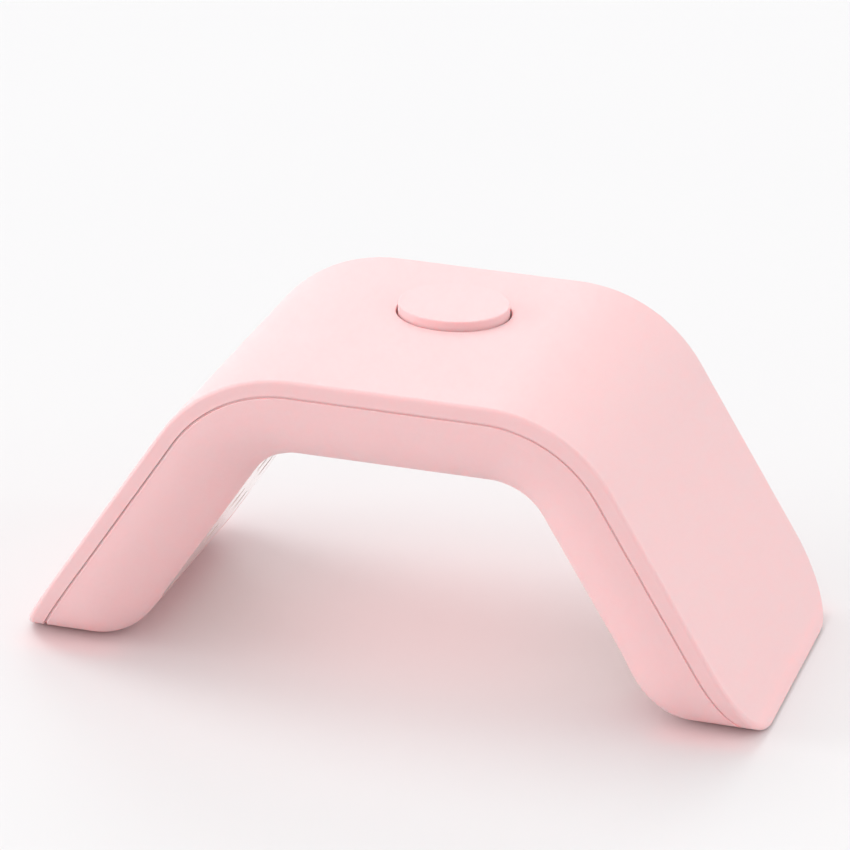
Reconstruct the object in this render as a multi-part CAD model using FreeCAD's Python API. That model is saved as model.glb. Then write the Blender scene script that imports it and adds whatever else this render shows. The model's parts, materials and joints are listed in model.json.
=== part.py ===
import FreeCAD, Part
import math
import os
from FreeCAD import Placement, Rotation, Vector

# Arch-shaped UV LED nail lamp.
# Frame: origin on the floor under the middle of the arch, X across the span,
# Y through the arch (the hand goes in from -Y, the power inlet is at +Y), +Z up.
# "Depth" is the distance inward from the outer face of the arch, measured
# square to it, so the same depth follows the top, the two bends and the legs.

# ---- driving dimensions, millimetres ----
SPAN = 180.0
WIDTH = 89.0
HEIGHT = 75.0
LEG_ANGLE = 57.5
BEND_RADIUS = 36.3
BODY_THICKNESS = 22.0
FOOT_CORNER_RADIUS = 17.5
FOOT_CORNER_DROP = 0.6
SIDE_ROUNDING = 15.0

COVER_WALL = 2.0
COVER_LIP_DEPTH = 3.8
COVER_LIP_WIDTH = 1.0
COVER_EDGE_ROUNDING = 1.0
COVER_LIP_ROUNDING = 0.2
SEAM_GROOVE_WIDTH = 0.45
SEAM_GROOVE_DEPTH = 0.45
SEAM_EDGE_ROUNDING = 0.25
PARTING_GAP = 0.1
HOUSING_WALL = 2.0
TONGUE_WALL = 1.2
TONGUE_CLEARANCE = 0.1
TONGUE_TOP_DEPTH = 2.3
TONGUE_ROOT_DEPTH = 6.5

PAD_PROUD = 0.5
PAD_THICKNESS = 1.0
PAD_LENGTH = 44.0
PAD_WIDTH = 12.0
PAD_CENTRE_X = 76.8
PAD_SIDE_CLEARANCE = 0.1
PAD_CHAMFER = 0.2

LINER_THICKNESS = 0.6
LINER_HALF_WIDTH = 29.0
LINER_END = 46.0
LINER_CORNER_RADIUS = 9.0
LINER_CLEARANCE = 0.1
LINER_HOLE_DIAMETER = 6.0
LED_WINDOW_DIAMETER = 7.0

BUTTON_Y = 13.0
BUTTON_DIAMETER = 26.4
BUTTON_HOLE_DIAMETER = 27.4
BUTTON_HOLE_ROUNDING = 0.25
BUTTON_PROUD = 2.25
BUTTON_EDGE_ROUNDING = 0.35
BUTTON_TOP_THICKNESS = 1.6
BUTTON_SKIRT_WALL = 1.2
BUTTON_SKIRT_DEPTH = 3.8
BUTTON_TRAVEL = 0.8
STEM_DIAMETER = 5.0
STEM_RUNNING_CLEARANCE = 0.1
STOP_CLEARANCE = 0.1
LUG_REACH = 1.3
LUG_WIDTH = 3.6
LUG_HEIGHT = 1.5
LUG_COUNT = 3

GUIDE_BORE_DIAMETER = 27.1
GUIDE_WALL = 1.8
GUIDE_FLOOR_DEPTH = 5.0
GUIDE_FLOOR_THICKNESS = 1.0
GUIDE_SLEEVE_DIAMETER = 8.0
GUIDE_SLEEVE_DEPTH = 7.4
GUIDE_SLOT_DEPTH = 4.8
GUIDE_SLOT_WIDTH = 4.4
EAR_RADIUS = 17.6
EAR_DIAMETER = 6.4
EAR_TOP_DEPTH = 3.4
EAR_THICKNESS = 1.4

SPRING_WIRE = 0.5
SPRING_MEAN_DIAMETER = 7.4
SPRING_TURNS = 4
SPRING_END_GAP = 0.03

PLUNGER_DIAMETER = 3.4
PLUNGER_PROUD = 1.1
PLUNGER_TOP_DEPTH = 8.0
PLUNGER_ROOT = 1.5
SWITCH_SIDE = 6.0
SWITCH_HEIGHT = 3.5
SWITCH_CORNER_RADIUS = 0.5
SWITCH_LEG_SIZE = (1.2, 0.7, 0.3)
SWITCH_LEG_Y = 2.2

BOARD_THICKNESS = 1.6
BOARD_HALF_LENGTH = 31.0
BOARD_FRONT_Y = -17.0
BOARD_REAR_Y = 40.0
BOARD_POST_X = 26.5
BOARD_POST_YS = (-13.0, 33.0)
BOARD_POST_DIAMETER = 5.0
BOARD_CORNER_RADIUS = 2.0

LED_BOARD_DEPTH = 17.0
LED_BOARD_THICKNESS = 1.2
LED_BOARD_POST_DIAMETER = 4.4
LED_SIDE = 5.0
LED_PACKAGE_HEIGHT = 1.4
LED_POCKET_DIAMETER = 3.6
LED_POCKET_DEPTH = 0.5
LED_DIE_SIDE = 1.4
LED_DIE_HEIGHT = 0.2
LED_LENS_DIAMETER = 4.4
LED_LENS_STRAIGHT = 0.1
LED_ROW_Y = 11.0
TOP_LED_XS = (-14.0, 0.0, 14.0)
TOP_BOARD_HALF_LENGTH = 21.0
TOP_BOARD_HALF_WIDTH = 22.0
TOP_BOARD_SCREW_XS = (-7.0, 7.0)
LEG_LED_STEPS = (7.0, 19.0, 31.0)
LEG_BOARD_START = 1.5
LEG_BOARD_END = 36.5
LEG_BOARD_HALF_WIDTH = 20.0
LEG_BOARD_SCREW_STEPS = (13.0, 25.0)

HOUSING_SCREW_STEP = 41.0
HOUSING_SCREW_Y = 18.0
HOUSING_POST_DIAMETER = 8.0
POST_ROOT = 0.6
HOUSING_POST_TOP_DEPTH = 10.0
HOUSING_SCREW_SEAT_DEPTH = 12.0
HOUSING_SCREW_TIP_DEPTH = 4.0
COVER_BOSS_DIAMETER = 6.0
EAR_BOSS_DIAMETER = 4.6
BOSS_GAP = 0.1

# screws: shank diameter, head diameter, head height
HOUSING_SCREW = (2.4, 4.6, 1.8)
BOARD_SCREW = (1.9, 3.8, 1.4)
SMALL_SCREW = (1.6, 3.4, 1.2)
BOARD_SCREW_LENGTH = 6.0
GUIDE_SCREW_LENGTH = 3.6
LED_BOARD_SCREW_LENGTH = 3.2
SCREW_HEAD_ROUNDING = 0.45
CROSS_RECESS_REACH = 0.55
CROSS_RECESS_WIDTH = 0.12
HOUSING_SCREW_BITE = 2.5
HOUSING_SCREW_PASSAGE = 2.8
HOUSING_SCREW_WELL = 5.2
BOARD_SCREW_BITE = 2.0
BOARD_SCREW_PASSAGE = 2.3
SMALL_SCREW_BITE = 1.7
SMALL_SCREW_PASSAGE = 1.8

USB_WIDTH = 8.94
USB_HEIGHT = 3.26
USB_LENGTH = 7.4
USB_WALL = 0.3
USB_SIDE_FLAT = 0.1
USB_MOUTH_Y = 42.4
USB_TONGUE_WIDTH = 6.7
USB_TONGUE_THICKNESS = 0.7
USB_TONGUE_LENGTH = 4.6
USB_BACK_WALL = 0.8
USB_ROOT_SIZE = (6.7, 1.0, 1.6)
USB_OPENING_MARGIN = 0.35
USB_OPENING_REACH = 3.0
USB_CONTACT_COUNT = 12
USB_CONTACT_PITCH = 0.5
USB_CONTACT_WIDTH = 0.26
USB_CONTACT_LENGTH = 3.6
USB_CONTACT_THICKNESS = 0.06

CHIP_PLACE = (-14.0, 2.0)
CHIP_SIZE = (4.9, 3.9, 1.4)
CHIP_LEG_SIZE = (0.45, 1.1, 0.3)
CHIP_LEG_PITCH = 1.27
CHIP_LEGS_A_SIDE = 4
TRANSISTOR_PLACES = ((-20.0, -8.0), (-14.0, -8.0), (14.0, -8.0))
TRANSISTOR_SIZE = (2.9, 1.3, 1.0)
TRANSISTOR_LEG_SIZE = (0.4, 0.6, 0.2)
TRANSISTOR_LEG_OFFSETS = ((-0.95, -0.95), (0.95, -0.95), (0.0, 0.95))
LEG_STANDOFF = 0.1
INDUCTOR_PLACE = (18.0, 30.0)
INDUCTOR_SIDE = 7.0
INDUCTOR_HEIGHT = 3.8
INDUCTOR_CORNER_RADIUS = 1.4
INDUCTOR_FLANGE = 1.0
INDUCTOR_BOBBIN_DIAMETER = 5.6
WINDING_DIAMETER = 6.4
WINDING_CLEARANCE = 0.05
CAPACITOR_PLACES = ((-18.0, 30.0), (-9.5, 34.0))
CAPACITOR_BASE_SIDE = 6.6
CAPACITOR_BASE_HEIGHT = 0.9
CAPACITOR_BASE_CORNER = 0.8
CAPACITOR_RIM_ROUNDING = 0.4
CAPACITOR_DIAMETER = 6.3
CAPACITOR_HEIGHT = 5.2
CHIP_RESISTOR_SIZE = (2.0, 1.25, 0.5)
RESISTOR_ROW_START = (-21.0, -3.5)
RESISTOR_ROW_PITCH = 4.2
RESISTOR_ROW_COUNT = 6
RESISTOR_COLUMN_START = (9.0, 36.5)
RESISTOR_COLUMN_PITCH = 3.0
RESISTOR_COLUMN_COUNT = 3
CERAMIC_SIZE = (2.0, 1.25, 1.1)
CERAMIC_PLACES = ((-8.0, 2.5), (-8.0, 5.5), (10.0, 24.0), (24.0, 22.0), (-22.0, 22.0))

SOCKET_SIZE = (5.6, 6.4, 4.6)
SOCKET_HOLE_SIZE = (4.2, 1.9, 3.0)
SOCKET_FLOOR = 0.8
SIDE_SOCKET_Y = 10.0

LEAD_DIAMETER = 1.1
LEAD_PITCH = 2.4
LEAD_RUN_DEPTH = 10.0
LEAD_BEND_RADIUS = 4.0
LEAD_DROP_RADIUS = 2.0
LEAD_PLUG_DEPTH = 2.0
LEAD_FRONT_REACH = 2.6
LEAD_HEIGHT = 2.3

# ---- sizes worked out from the driving dimensions ----
ANGLE = math.radians(LEG_ANGLE)
BASE_Z = PAD_PROUD
HALF_SPAN = SPAN / 2.0
HALF_WIDTH = WIDTH / 2.0
BEND_X = HALF_SPAN - (HEIGHT - BASE_Z) / math.tan(ANGLE) - BEND_RADIUS * math.tan(ANGLE / 2.0)
BEND_Z = HEIGHT - BEND_RADIUS
CORNER_FLOOR_Z = BASE_Z - FOOT_CORNER_DROP
HOUSING_TOP_DEPTH = COVER_LIP_DEPTH + SEAM_GROOVE_WIDTH
HOUSING_INNER_DEPTH = BODY_THICKNESS - HOUSING_WALL
LINER_RECESS_DEPTH = BODY_THICKNESS - LINER_THICKNESS
WALL_MIDDLE_DEPTH = HOUSING_INNER_DEPTH + POST_ROOT
EAR_BOTTOM_DEPTH = EAR_TOP_DEPTH + EAR_THICKNESS
SWITCH_TOP_Z = HEIGHT - PLUNGER_TOP_DEPTH - PLUNGER_PROUD
BOARD_TOP_Z = SWITCH_TOP_Z - SWITCH_HEIGHT
BOARD_BOTTOM_Z = BOARD_TOP_Z - BOARD_THICKNESS
LED_FACE_DEPTH = LED_BOARD_DEPTH + LED_BOARD_THICKNESS
SOCKET_REACH = SOCKET_SIZE[0] / 2.0
SIDE_SOCKET_X = BOARD_HALF_LENGTH - SOCKET_REACH
FRONT_SOCKET_Y = BOARD_FRONT_Y + SOCKET_REACH
LEAD_START_Z = BOARD_TOP_Z + LEAD_HEIGHT
USB_MIDDLE_Z = BOARD_TOP_Z + USB_HEIGHT / 2.0
USB_BACK_Y = USB_MOUTH_Y - USB_LENGTH + USB_BACK_WALL

# lengths that only have to be long enough for a cut or a join
BEYOND = 30.0
FAR = 200.0
NICK = 1.0

# how closely two heights or lengths have to agree to count as the same
SAME = 0.01

PARTS_DIR = "parts"


# ---- the arch frame ----
def arch_point(depth, turn, side):
    """Point on a bend: turn is 0 at the top and LEG_ANGLE at the leg."""
    radius = BEND_RADIUS - depth
    return Vector(side * (BEND_X + radius * math.sin(turn)), 0, BEND_Z + radius * math.cos(turn))


def leg_point(depth, step, side):
    """Point on a leg, step millimetres down from the end of the bend."""
    start = arch_point(depth, ANGLE, side)
    return start + Vector(side * step * math.cos(ANGLE), 0, -step * math.sin(ANGLE))


def arch_line(depth, step):
    """Edges of the arch at one depth, from the left leg's end to the right leg's."""
    edges = [Part.makeLine(arch_point(depth, 0, -1), arch_point(depth, 0, 1))]
    ends = []
    for side in (-1, 1):
        top, middle, bottom = [arch_point(depth, ANGLE * part, side) for part in (0.0, 0.5, 1.0)]
        end = leg_point(depth, step, side)
        edges.append(Part.Arc(top, middle, bottom).toShape())
        edges.append(Part.makeLine(bottom, end))
        ends.append(end)
    return edges, ends[0], ends[1]


def arch_band(outer_depth, inner_depth, half_width, step):
    """Solid between two depths, with its leg ends square to the legs."""
    outer, outer_left, outer_right = arch_line(outer_depth, step)
    inner, inner_left, inner_right = arch_line(inner_depth, step)
    ends = [Part.makeLine(outer_left, inner_left), Part.makeLine(outer_right, inner_right)]
    wire = Part.Wire(Part.__sortEdges__(outer + inner + ends))
    face = Part.Face(wire)
    face.translate(Vector(0, -half_width, 0))
    return face.extrude(Vector(0, 2 * half_width, 0))


def side_outline(inset):
    """The lamp seen along X: upright sides with rounded lower corners."""
    half = HALF_WIDTH - inset
    radius = FOOT_CORNER_RADIUS - inset
    floor = CORNER_FLOOR_Z + inset
    top = HEIGHT + BEYOND
    mid = radius * (1 - math.sqrt(0.5))
    edges = [
        Part.Arc(Vector(0, -half, floor + radius), Vector(0, -half + mid, floor + mid),
                 Vector(0, -half + radius, floor)).toShape(),
        Part.makeLine(Vector(0, -half + radius, floor), Vector(0, half - radius, floor)),
        Part.Arc(Vector(0, half - radius, floor), Vector(0, half - mid, floor + mid),
                 Vector(0, half, floor + radius)).toShape(),
        Part.makeLine(Vector(0, half, floor + radius), Vector(0, half, top)),
        Part.makeLine(Vector(0, half, top), Vector(0, -half, top)),
        Part.makeLine(Vector(0, -half, top), Vector(0, -half, floor + radius)),
    ]
    face = Part.Face(Part.Wire(edges))
    face.translate(Vector(-FAR, 0, 0))
    return face.extrude(Vector(2 * FAR, 0, 0))


def shaped_band(outer_depth, inner_depth, inset):
    """Arch band trimmed to the side outline, before the floor cut."""
    band = arch_band(outer_depth, inner_depth, HALF_WIDTH, FAR / 2)
    return band.common(side_outline(inset)).removeSplitter()


def depth_of(point):
    """Distance inward from the outer face of the arch, the inverse of arch_point and leg_point."""
    across = abs(point.x)
    if across <= BEND_X:
        return HEIGHT - point.z
    from_centre = Vector(across - BEND_X, 0, point.z - BEND_Z)
    if math.atan2(from_centre.x, from_centre.z) <= ANGLE:
        return BEND_RADIUS - from_centre.Length
    return BEND_RADIUS - (from_centre.x * math.sin(ANGLE) + from_centre.z * math.cos(ANGLE))


def rim_edges(shape, depth):
    """Edges running round the shape at one depth, without the bend lines across it."""
    found = []
    for edge in shape.Edges:
        length = edge.LastParameter - edge.FirstParameter
        points = [edge.valueAt(edge.FirstParameter + length * part) for part in (0.1, 0.5, 0.9)]
        if any(abs(depth_of(point) - depth) > SAME for point in points):
            continue
        crosses = abs(points[0].y - points[2].y) > NICK and abs(points[0].z - points[2].z) < SAME
        if crosses and points[0].z > BASE_Z + COVER_LIP_DEPTH:
            continue
        found.append(edge)
    return found


def above(shape, height):
    """The part of a shape above a level cut."""
    return shape.common(Part.makeBox(2 * FAR, 2 * FAR, FAR, Vector(-FAR, -FAR, height)))


def on_leg(shape, side):
    """Moves a piece drawn about a bend's centre, X down the leg and Z outward, to a leg."""
    placed = shape.copy()
    leg_frame = Placement(Vector(BEND_X, 0, BEND_Z), Rotation(Vector(0, 1, 0), LEG_ANGLE))
    placed.Placement = leg_frame.multiply(placed.Placement)
    if side < 0:
        placed = placed.mirror(Vector(0, 0, 0), Vector(1, 0, 0))
    return placed


def up_from_bend(depth):
    """Height above the bend's centre of a depth, for pieces placed with on_leg."""
    return BEND_RADIUS - depth


def post(diameter, x, y, bottom, top):
    """Upright cylinder between two heights."""
    return Part.makeCylinder(diameter / 2.0, top - bottom, Vector(x, y, bottom))


def fused(shapes):
    result = shapes[0].fuse(shapes[1:])
    return result.removeSplitter()


def block(length, width, height, x, y, bottom):
    """Upright box centred on x and y."""
    return Part.makeBox(length, width, height, Vector(x - length / 2.0, y - width / 2.0, bottom))


def rounded_block(length, width, height, x, y, bottom, radius):
    body = block(length, width, height, x, y, bottom)
    upright = [edge for edge in body.Edges if edge.BoundBox.ZLength > height / 2.0]
    return body.makeFillet(radius, upright)


# ---- places that several pieces share ----
def lug_angles():
    return [90.0 + 360.0 * index / LUG_COUNT for index in range(LUG_COUNT)]


def ear_places():
    places = []
    for angle in lug_angles():
        turn = math.radians(angle + 180.0 / LUG_COUNT)
        places.append((EAR_RADIUS * math.cos(turn), BUTTON_Y + EAR_RADIUS * math.sin(turn)))
    return places


def board_post_places():
    return [(side * BOARD_POST_X, y) for side in (-1, 1) for y in BOARD_POST_YS]


def top_led_places():
    return [(x, side * LED_ROW_Y) for x in TOP_LED_XS for side in (-1, 1)]


def leg_led_places():
    return [(step, side * LED_ROW_Y) for step in LEG_LED_STEPS for side in (-1, 1)]


def housing_screw_places():
    return [(HOUSING_SCREW_STEP, side * HOUSING_SCREW_Y) for side in (-1, 1)]


def led_openings(diameter):
    """Round openings through the inner wall, one for each LED."""
    low = up_from_bend(BODY_THICKNESS + NICK)
    high = up_from_bend(HOUSING_INNER_DEPTH - NICK)
    cutters = []
    for x, y in top_led_places():
        cutters.append(post(diameter, x, y, BEND_Z + low, BEND_Z + high))
    for step, y in leg_led_places():
        cutter = post(diameter, step, y, low, high)
        cutters.extend([on_leg(cutter, -1), on_leg(cutter, 1)])
    return cutters


# ---- casing ----
def make_top_cover():
    outside = shaped_band(0, COVER_LIP_DEPTH, 0)
    outside = outside.makeFillet(COVER_EDGE_ROUNDING, rim_edges(outside, 0))
    outside = outside.makeFillet(COVER_LIP_ROUNDING, rim_edges(outside, COVER_LIP_DEPTH))
    inside = shaped_band(COVER_WALL, BODY_THICKNESS, COVER_LIP_WIDTH)
    shell = above(outside, BASE_Z).cut(above(inside, BASE_Z + COVER_LIP_WIDTH))
    shell = shell.cut(post(BUTTON_HOLE_DIAMETER, 0, BUTTON_Y, HEIGHT - BEYOND, HEIGHT + BEYOND))
    hole_rim = [edge for edge in shell.Edges if edge.isClosed() and edge.BoundBox.ZMin > HEIGHT - SAME]
    shell = shell.makeFillet(BUTTON_HOLE_ROUNDING, hole_rim)
    bosses = []
    holes = []
    inner = HEIGHT - COVER_WALL
    for x, y in ear_places():
        bosses.append(post(EAR_BOSS_DIAMETER, x, y, HEIGHT - EAR_TOP_DEPTH, inner + COVER_WALL / 4.0))
        holes.append(post(SMALL_SCREW_BITE, x, y, HEIGHT - EAR_TOP_DEPTH - NICK, inner + COVER_WALL / 2.0))
    for step, y in housing_screw_places():
        low = up_from_bend(HOUSING_POST_TOP_DEPTH - BOSS_GAP)
        boss = post(COVER_BOSS_DIAMETER, step, y, low, up_from_bend(COVER_WALL / 2.0))
        hole = post(HOUSING_SCREW_BITE, step, y, low - NICK, up_from_bend(HOUSING_SCREW_TIP_DEPTH - NICK))
        for side in (-1, 1):
            bosses.append(on_leg(boss, side))
            holes.append(on_leg(hole, side))
    return fused([shell] + bosses).cut(holes)


def housing_posts():
    """Posts standing on the inner wall for the boards and the cover, and the holes down them."""
    posts = []
    holes = []
    low = HEIGHT - WALL_MIDDLE_DEPTH
    board_hole_low = low + HOUSING_WALL / 2.0
    for x, y in board_post_places():
        posts.append(post(BOARD_POST_DIAMETER, x, y, low, BOARD_BOTTOM_Z))
        holes.append(post(BOARD_SCREW_BITE, x, y, board_hole_low, BOARD_BOTTOM_Z + NICK))
    for x in TOP_BOARD_SCREW_XS:
        posts.append(post(LED_BOARD_POST_DIAMETER, x, 0, low, HEIGHT - LED_FACE_DEPTH))
        holes.append(post(SMALL_SCREW_BITE, x, 0, low, HEIGHT - LED_FACE_DEPTH + NICK))
    low = up_from_bend(WALL_MIDDLE_DEPTH)
    stands = []
    cutters = []
    for step in LEG_BOARD_SCREW_STEPS:
        stands.append(post(LED_BOARD_POST_DIAMETER, step, 0, low, up_from_bend(LED_FACE_DEPTH)))
        cutters.append(post(SMALL_SCREW_BITE, step, 0, low, up_from_bend(LED_FACE_DEPTH - NICK)))
    tower_top = up_from_bend(HOUSING_POST_TOP_DEPTH)
    underside = up_from_bend(BODY_THICKNESS + NICK)
    for step, y in housing_screw_places():
        stands.append(post(HOUSING_POST_DIAMETER, step, y, low, tower_top))
        cutters.append(post(HOUSING_SCREW_WELL, step, y, underside, up_from_bend(HOUSING_SCREW_SEAT_DEPTH)))
        cutters.append(post(HOUSING_SCREW_PASSAGE, step, y, underside, tower_top + NICK))
    for side in (-1, 1):
        posts.extend([on_leg(stand, side) for stand in stands])
        holes.extend([on_leg(cutter, side) for cutter in cutters])
    return posts, holes


def make_lower_housing():
    outside = shaped_band(HOUSING_TOP_DEPTH, BODY_THICKNESS, 0)
    outside = outside.makeFillet(SIDE_ROUNDING, rim_edges(outside, BODY_THICKNESS))
    outside = outside.makeFillet(SEAM_EDGE_ROUNDING, rim_edges(outside, HOUSING_TOP_DEPTH))
    cavity = shaped_band(0, HOUSING_INNER_DEPTH, HOUSING_WALL)
    cavity = cavity.makeFillet(SIDE_ROUNDING - HOUSING_WALL, rim_edges(cavity, HOUSING_INNER_DEPTH))
    ledge = shaped_band(COVER_LIP_DEPTH + PARTING_GAP, HOUSING_TOP_DEPTH + HOUSING_WALL, SEAM_GROOVE_DEPTH)
    walls = above(outside, BASE_Z).fuse(above(ledge, BASE_Z + SEAM_GROOVE_DEPTH))
    shell = walls.cut(above(cavity, BASE_Z + HOUSING_WALL))

    tongue_inset = COVER_LIP_WIDTH + TONGUE_CLEARANCE
    tongue_outside = shaped_band(TONGUE_TOP_DEPTH, TONGUE_ROOT_DEPTH, tongue_inset)
    tongue_inside = shaped_band(0, BODY_THICKNESS, tongue_inset + TONGUE_WALL)
    tongue = above(tongue_outside, BASE_Z + tongue_inset)
    tongue = tongue.cut(above(tongue_inside, BASE_Z + tongue_inset + TONGUE_WALL))

    posts, holes = housing_posts()
    recess = liner_sheet(BODY_THICKNESS + NICK, LINER_CLEARANCE)
    body = fused([shell, tongue] + posts)
    body = body.cut([recess] + holes + led_openings(LED_WINDOW_DIAMETER))

    margin = 2 * PAD_SIDE_CLEARANCE
    pocket_height = PAD_THICKNESS - PAD_PROUD + NICK
    for side in (-1, 1):
        pocket = rounded_block(PAD_WIDTH + margin, PAD_LENGTH + margin, pocket_height,
                               side * PAD_CENTRE_X, 0, BASE_Z - NICK, PAD_WIDTH / 2.0)
        body = body.cut(pocket)
    port = usb_profile(USB_OPENING_MARGIN, BEYOND, USB_MOUTH_Y - USB_OPENING_REACH)
    return body.cut(port)


def liner_sheet(inner_depth, margin):
    """Bent sheet with rounded lower corners, from the recess floor to inner_depth."""
    sheet = arch_band(LINER_RECESS_DEPTH, inner_depth, LINER_HALF_WIDTH + margin, LINER_END + margin)
    thickness = inner_depth - LINER_RECESS_DEPTH
    corners = [edge for edge in sheet.Edges if edge.Length < thickness + SAME]
    return sheet.makeFillet(LINER_CORNER_RADIUS + margin, corners)


def make_reflector_liner():
    return liner_sheet(BODY_THICKNESS, 0).cut(led_openings(LINER_HOLE_DIAMETER))


def make_foot_pad(side):
    pad = rounded_block(PAD_WIDTH, PAD_LENGTH, PAD_THICKNESS, side * PAD_CENTRE_X, 0, 0,
                        PAD_WIDTH / 2.0 - PAD_SIDE_CLEARANCE)
    lower = [edge for edge in pad.Edges if edge.BoundBox.ZMax < SAME]
    return pad.makeChamfer(PAD_CHAMFER, lower)


# ---- screws ----
def pan_screw(size, x, y, seat, length):
    """Screw pointing down from its seat, with a rounded head and a cross recess."""
    shank, head, head_height = size
    top = seat + head_height
    body = Part.makeCylinder(head / 2.0, head_height, Vector(x, y, seat))
    rim = [edge for edge in body.Edges if edge.BoundBox.ZMin > top - SAME]
    body = body.makeFillet(head_height * SCREW_HEAD_ROUNDING, rim)
    stem = Part.makeCylinder(shank / 2.0, length, Vector(x, y, seat - length))
    reach = head * CROSS_RECESS_REACH
    width = head * CROSS_RECESS_WIDTH
    recess_floor = seat + head_height / 2.0
    cross = [block(reach, width, head_height, x, y, recess_floor),
             block(width, reach, head_height, x, y, recess_floor)]
    return fused([body, stem]).cut(cross)


def upward_screw(size, x, y, seat, length):
    """The same screw driven from below."""
    screw = pan_screw(size, x, y, 0, length)
    screw.rotate(Vector(x, y, 0), Vector(1, 0, 0), 180)
    screw.translate(Vector(0, 0, seat))
    return screw


def make_housing_screws():
    seat = up_from_bend(HOUSING_SCREW_SEAT_DEPTH)
    length = HOUSING_SCREW_SEAT_DEPTH - HOUSING_SCREW_TIP_DEPTH
    screws = [upward_screw(HOUSING_SCREW, step, y, seat, length) for step, y in housing_screw_places()]
    return Part.makeCompound([on_leg(screw, side) for screw in screws for side in (-1, 1)])


def make_guide_screws():
    seat = HEIGHT - EAR_BOTTOM_DEPTH
    return Part.makeCompound([upward_screw(SMALL_SCREW, x, y, seat, GUIDE_SCREW_LENGTH)
                              for x, y in ear_places()])


def make_board_screws():
    return Part.makeCompound([pan_screw(BOARD_SCREW, x, y, BOARD_TOP_Z, BOARD_SCREW_LENGTH)
                              for x, y in board_post_places()])


def make_led_board_screws():
    screws = [pan_screw(SMALL_SCREW, x, 0, HEIGHT - LED_BOARD_DEPTH, LED_BOARD_SCREW_LENGTH)
              for x in TOP_BOARD_SCREW_XS]
    for step in LEG_BOARD_SCREW_STEPS:
        screw = pan_screw(SMALL_SCREW, step, 0, up_from_bend(LED_BOARD_DEPTH), LED_BOARD_SCREW_LENGTH)
        screws.extend([on_leg(screw, -1), on_leg(screw, 1)])
    return Part.makeCompound(screws)


# ---- button group ----
def around_button(shape, angle):
    """Turns a piece drawn about the origin to an angle round the button's axis."""
    turned = shape.copy()
    turned.rotate(Vector(0, 0, 0), Vector(0, 0, 1), angle)
    turned.translate(Vector(0, BUTTON_Y, 0))
    return turned


def make_button_cap():
    top = HEIGHT + BUTTON_PROUD
    underside = top - BUTTON_TOP_THICKNESS
    skirt_end = HEIGHT - BUTTON_SKIRT_DEPTH
    body = post(BUTTON_DIAMETER, 0, BUTTON_Y, skirt_end, top)
    rim = [edge for edge in body.Edges if edge.BoundBox.ZMin > top - SAME]
    body = body.makeFillet(BUTTON_EDGE_ROUNDING, rim)
    hollow = post(BUTTON_DIAMETER - 2 * BUTTON_SKIRT_WALL, 0, BUTTON_Y, skirt_end - NICK, underside)
    stem = post(STEM_DIAMETER, 0, BUTTON_Y, HEIGHT - PLUNGER_TOP_DEPTH, top - BUTTON_TOP_THICKNESS / 2.0)
    lug_bottom = HEIGHT - COVER_WALL - STOP_CLEARANCE - LUG_HEIGHT
    lug = block(2 * LUG_REACH, LUG_WIDTH, LUG_HEIGHT, BUTTON_DIAMETER / 2.0, 0, lug_bottom)
    lugs = [around_button(lug, angle) for angle in lug_angles()]
    return fused([fused([body] + lugs).cut(hollow), stem])


def make_button_guide():
    top = HEIGHT - COVER_WALL
    floor = HEIGHT - GUIDE_FLOOR_DEPTH
    bottom = floor - GUIDE_FLOOR_THICKNESS
    cup = post(GUIDE_BORE_DIAMETER + 2 * GUIDE_WALL, 0, BUTTON_Y, bottom, top)
    sleeve = post(GUIDE_SLEEVE_DIAMETER, 0, BUTTON_Y, HEIGHT - GUIDE_SLEEVE_DEPTH, floor)
    ear_bottom = HEIGHT - EAR_BOTTOM_DEPTH
    ears = [post(EAR_DIAMETER, x, y, ear_bottom, ear_bottom + EAR_THICKNESS) for x, y in ear_places()]
    stem_hole = STEM_DIAMETER + 2 * STEM_RUNNING_CLEARANCE
    cutters = [post(GUIDE_BORE_DIAMETER, 0, BUTTON_Y, floor, top + NICK),
               post(stem_hole, 0, BUTTON_Y, HEIGHT - GUIDE_SLEEVE_DEPTH - NICK, top)]
    slot = block(3 * GUIDE_WALL, GUIDE_SLOT_WIDTH, BEYOND, GUIDE_BORE_DIAMETER / 2.0, 0,
                 HEIGHT - GUIDE_SLOT_DEPTH)
    cutters.extend([around_button(slot, angle) for angle in lug_angles()])
    for x, y in ear_places():
        cutters.append(post(SMALL_SCREW_PASSAGE, x, y, ear_bottom - NICK, HEIGHT))
        cutters.append(post(EAR_BOSS_DIAMETER + 2 * BOSS_GAP, x, y, HEIGHT - EAR_TOP_DEPTH, HEIGHT))
    return fused([cup, sleeve] + ears).cut(cutters)


def make_return_spring():
    """Coil of half-turn arcs, each tilted so that it rises half a pitch and meets the next squarely."""
    bottom = HEIGHT - GUIDE_FLOOR_DEPTH + SPRING_WIRE / 2.0 + SPRING_END_GAP
    top = HEIGHT + BUTTON_PROUD - BUTTON_TOP_THICKNESS - SPRING_WIRE / 2.0 - SPRING_END_GAP
    rise = (top - bottom) / (2 * SPRING_TURNS)
    radius = SPRING_MEAN_DIAMETER / 2.0
    arcs = []
    for index in range(2 * SPRING_TURNS):
        side = 1 if index % 2 == 0 else -1
        start = Vector(side * radius, BUTTON_Y, bottom + index * rise)
        finish = Vector(-side * radius, BUTTON_Y, bottom + (index + 1) * rise)
        centre = (start + finish) / 2.0
        axis = (start - centre).cross(Vector(0, side, 0))
        section = Part.Face(Part.Wire(Part.makeCircle(SPRING_WIRE / 2.0, start, Vector(0, 1, 0))))
        arcs.append(section.revolve(centre, axis, 180))
    return fused(arcs)


def make_switch_plunger():
    return post(PLUNGER_DIAMETER, 0, BUTTON_Y, SWITCH_TOP_Z - PLUNGER_ROOT, HEIGHT - PLUNGER_TOP_DEPTH)


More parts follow.
